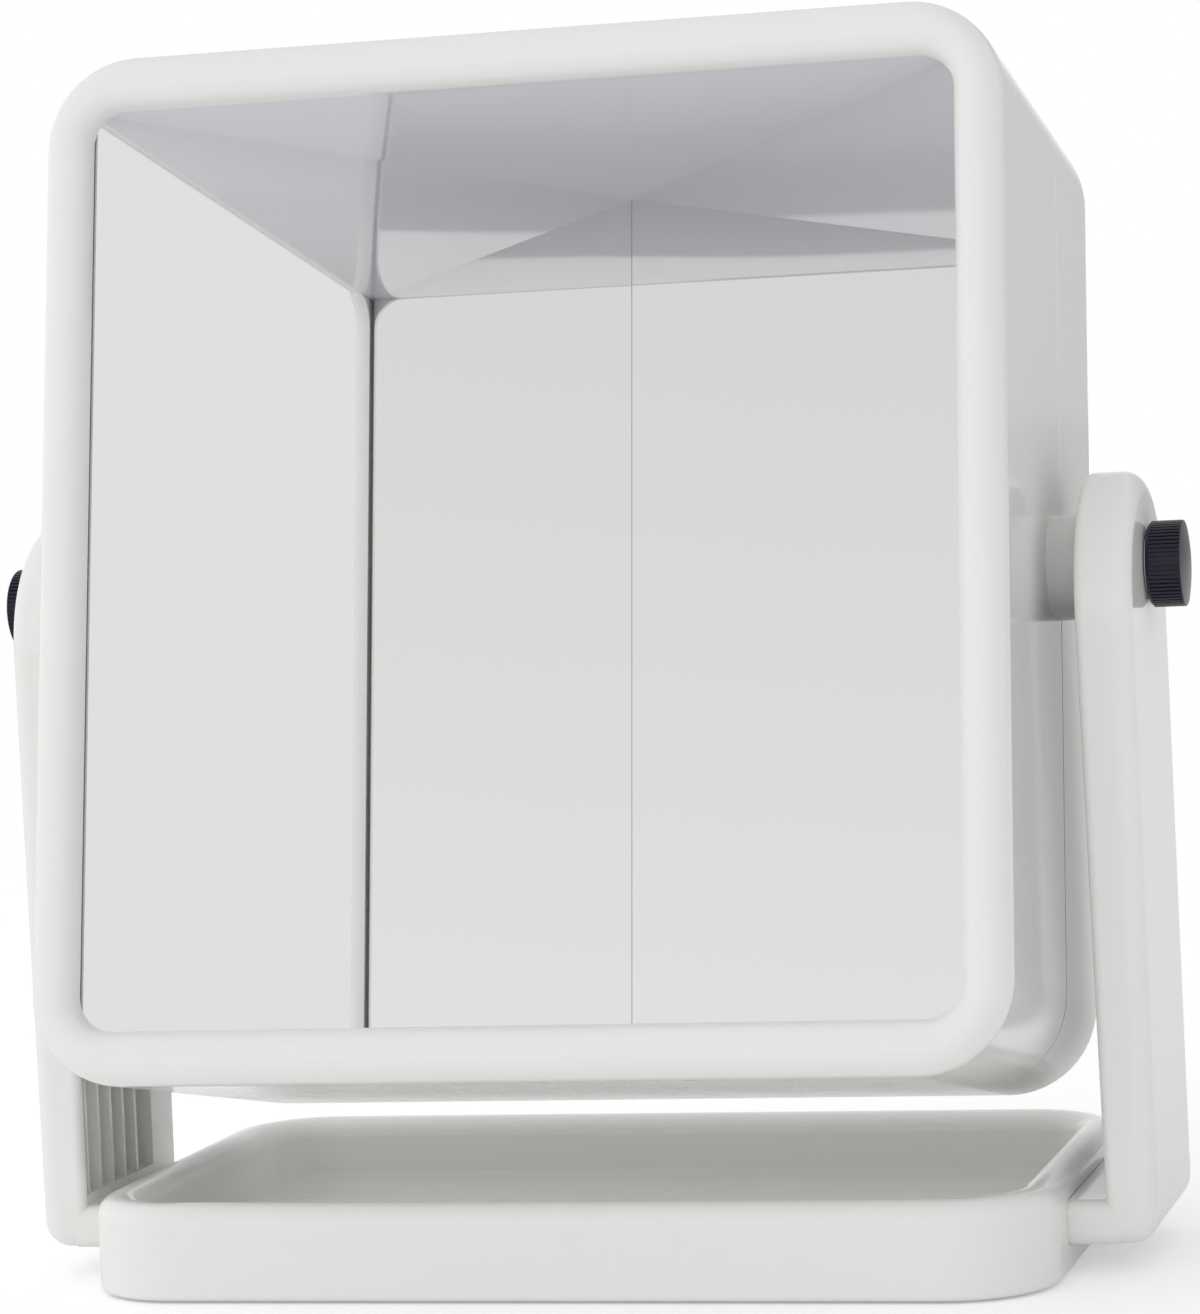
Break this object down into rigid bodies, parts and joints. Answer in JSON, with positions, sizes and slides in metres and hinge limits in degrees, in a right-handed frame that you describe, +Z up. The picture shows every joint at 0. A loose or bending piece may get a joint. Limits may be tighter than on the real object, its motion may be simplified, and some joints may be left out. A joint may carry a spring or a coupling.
{
  "type": "tabletop makeup mirror",
  "caption": "Tabletop makeup mirror: two flat mirrors at a right angle in a deep housing that tilts between two arms on a shallow tray, held by thumb-screws.",
  "frame": {"origin": "on the table under the middle of the whole object as it stands, housing leaning back 11 degrees", "axes": "+X to the user's right along the pivot axis, +Y away from the user, +Z up"},
  "size_m": [0.2682, 0.1582, 0.2676],
  "materials": {
    "white_plastic": "glossy moulded",
    "pale_grey_plastic": "polished",
    "holder_plastic": "as moulded",
    "mirror_glass": "back-silvered",
    "foam_tape": "foam",
    "steel": "zinc plated",
    "brass": "turned",
    "white_washer": "satin",
    "black_plastic": "semi-gloss knurled",
    "rubber_feet": "matt"
  },
  "bodies": {
    "stand": {"tray": "white_plastic", "left_arm": "white_plastic", "right_arm": "white_plastic", "foot_screws": "steel", "tray_feet": "rubber_feet"},
    "housing": {"front_housing": "white_plastic", "rear_cover": "white_plastic", "top_panel": "pale_grey_plastic", "bottom_panel": "pale_grey_plastic", "mirror_holder": "holder_plastic", "left_mirror": "mirror_glass", "right_mirror": "mirror_glass", "left_mirror_tape": "foam_tape", "right_mirror_tape": "foam_tape", "panel_screws": "steel", "holder_screws": "steel", "cover_screws": "steel", "left_insert": "brass", "right_insert": "brass", "left_pivot_washer": "white_washer", "right_pivot_washer": "white_washer"},
    "left_thumb_screw": {"left_knob": "black_plastic", "left_stud": "steel", "left_knob_washer": "steel"},
    "right_thumb_screw": {"right_knob": "black_plastic", "right_stud": "steel", "right_knob_washer": "steel"}
  },
  "joints": [
    {"name": "housing_tilt", "type": "hinge", "parent": "stand", "child": "housing", "pos_m": [0, 0.00109, 0.14796], "axis": [1, 0, 0], "continuous": true},
    {"name": "left_knob_turn", "type": "hinge", "parent": "housing", "child": "left_thumb_screw", "pos_m": [-0.13, 0.00109, 0.14796], "axis": [-1, 0, 0], "continuous": true},
    {"name": "right_knob_turn", "type": "hinge", "parent": "housing", "child": "right_thumb_screw", "pos_m": [0.13, 0.00109, 0.14796], "axis": [1, 0, 0], "continuous": true}
  ]
}
